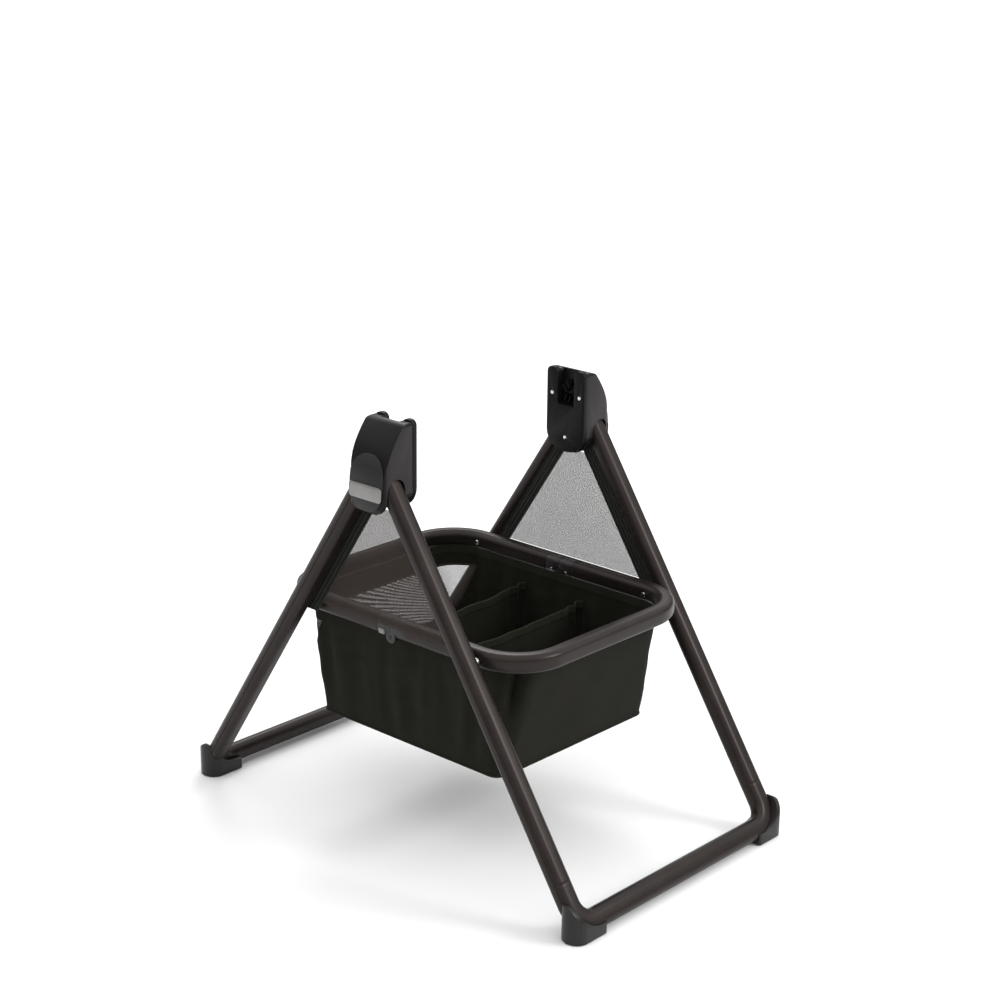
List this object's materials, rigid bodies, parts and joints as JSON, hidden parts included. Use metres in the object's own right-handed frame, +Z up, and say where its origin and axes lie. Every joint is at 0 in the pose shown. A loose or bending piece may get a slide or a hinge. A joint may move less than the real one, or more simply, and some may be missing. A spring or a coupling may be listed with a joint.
{
  "type": "folding carrycot stand",
  "caption": "Folding A-frame stand for a baby carrycot, with receiver heads, a folding rim and a divided fabric storage basket.",
  "frame": {"origin": "on the floor, under the middle of the stand", "axes": "+X from the left head to the right head, along the base bars; +Y to the rear; +Z up"},
  "size_m": [0.5046, 0.827, 0.679],
  "materials": {
    "frame_tube": "satin warm grey-brown powder coat",
    "head_housing": "semi-gloss near-black moulding",
    "receiver_plate": "smooth satin black moulding",
    "hub_cap": "matte dark grey moulding",
    "badge": "fine brushed, plain",
    "fastener_steel": "bright zinc-plated",
    "hinge_plastic": "satin moulding",
    "release_button": "satin grey moulding",
    "foot_shell": "satin dark moulding",
    "foot_pad": "matte rubber",
    "basket_fabric": "plain-woven, very dark green-black",
    "mesh_fabric": "open knitted mesh, taupe grey"
  },
  "bodies": {
    "heads": {"badge_left": "badge", "badge_right": "badge", "basket": "basket_fabric", "basket_divider_1": "basket_fabric", "basket_divider_2": "basket_fabric", "basket_window": "mesh_fabric", "head_plate_left": "receiver_plate", "head_plate_right": "receiver_plate", "head_shell_left": "head_housing", "head_shell_right": "head_housing", "hub_cap_left": "hub_cap", "hub_cap_right": "hub_cap", "leg_pin_front_left": "fastener_steel", "leg_pin_front_right": "fastener_steel", "leg_pin_rear_left": "fastener_steel", "leg_pin_rear_right": "fastener_steel", "plate_screw_front_left": "fastener_steel", "plate_screw_front_right": "fastener_steel", "plate_screw_low_left": "fastener_steel", "plate_screw_low_right": "fastener_steel", "plate_screw_rear_left": "fastener_steel", "plate_screw_rear_right": "fastener_steel", "side_mesh_left": "mesh_fabric", "side_mesh_right": "mesh_fabric"},
    "front_frame": {"front_base_tube": "frame_tube", "front_foot_left": "foot_shell", "front_foot_pad_left": "foot_pad", "front_foot_pad_right": "foot_pad", "front_foot_right": "foot_shell", "front_leg_left": "frame_tube", "front_leg_right": "frame_tube"},
    "rear_frame": {"rear_base_tube": "frame_tube", "rear_foot_left": "foot_shell", "rear_foot_pad_left": "foot_pad", "rear_foot_pad_right": "foot_pad", "rear_foot_right": "foot_shell", "rear_leg_left": "frame_tube", "rear_leg_right": "frame_tube"},
    "rim_front": {"rim_front_bolt_left": "fastener_steel", "rim_front_bolt_right": "fastener_steel", "rim_front_tube": "frame_tube", "rim_hinge_fork_left": "hinge_plastic", "rim_hinge_fork_right": "hinge_plastic", "rim_hinge_pin_left": "fastener_steel", "rim_hinge_pin_right": "fastener_steel"},
    "rim_rear": {"rim_hinge_tongue_left": "hinge_plastic", "rim_hinge_tongue_right": "hinge_plastic", "rim_rear_bolt_left": "fastener_steel", "rim_rear_bolt_right": "fastener_steel", "rim_rear_tube": "frame_tube"},
    "button_left": {"release_button_left": "release_button"},
    "button_right": {"release_button_right": "release_button"}
  },
  "joints": [
    {"name": "front_fold", "type": "hinge", "parent": "heads", "child": "front_frame", "pos_m": [0, -0.02079, 0.5922], "axis": [1, 0, 0], "range_deg": [0, 30], "deforming": ["basket", "basket_window", "basket_divider_1", "basket_divider_2", "side_mesh_left", "side_mesh_right"]},
    {"name": "rear_fold", "type": "hinge", "parent": "heads", "child": "rear_frame", "pos_m": [0, 0.02079, 0.5922], "axis": [1, 0, 0], "range_deg": [-30, 0]},
    {"name": "rim_front_pivot", "type": "hinge", "parent": "front_frame", "child": "rim_front", "pos_m": [0, -0.17712, 0.3533], "axis": [1, 0, 0], "range_deg": [0, 52.4]},
    {"name": "rim_middle_hinge", "type": "hinge", "parent": "rim_front", "child": "rim_rear", "pos_m": [0, 0, 0.34], "axis": [1, 0, 0], "range_deg": [-164.8, 0]},
    {"name": "release_button_left_press", "type": "slide", "parent": "rim_rear", "child": "button_left", "axis": [1, 0, 0], "range_m": [0, 0.003], "stiffness_N_per_m": 400},
    {"name": "release_button_right_press", "type": "slide", "parent": "rim_rear", "child": "button_right", "axis": [-1, 0, 0], "range_m": [0, 0.003], "stiffness_N_per_m": 400}
  ],
  "couplings": [
    {"joint": "rear_fold", "follows": "front_fold", "ratio": -1},
    {"joint": "rim_front_pivot", "follows": "front_fold", "ratio": 1.7454},
    {"joint": "rim_middle_hinge", "follows": "front_fold", "ratio": -5.4907}
  ]
}
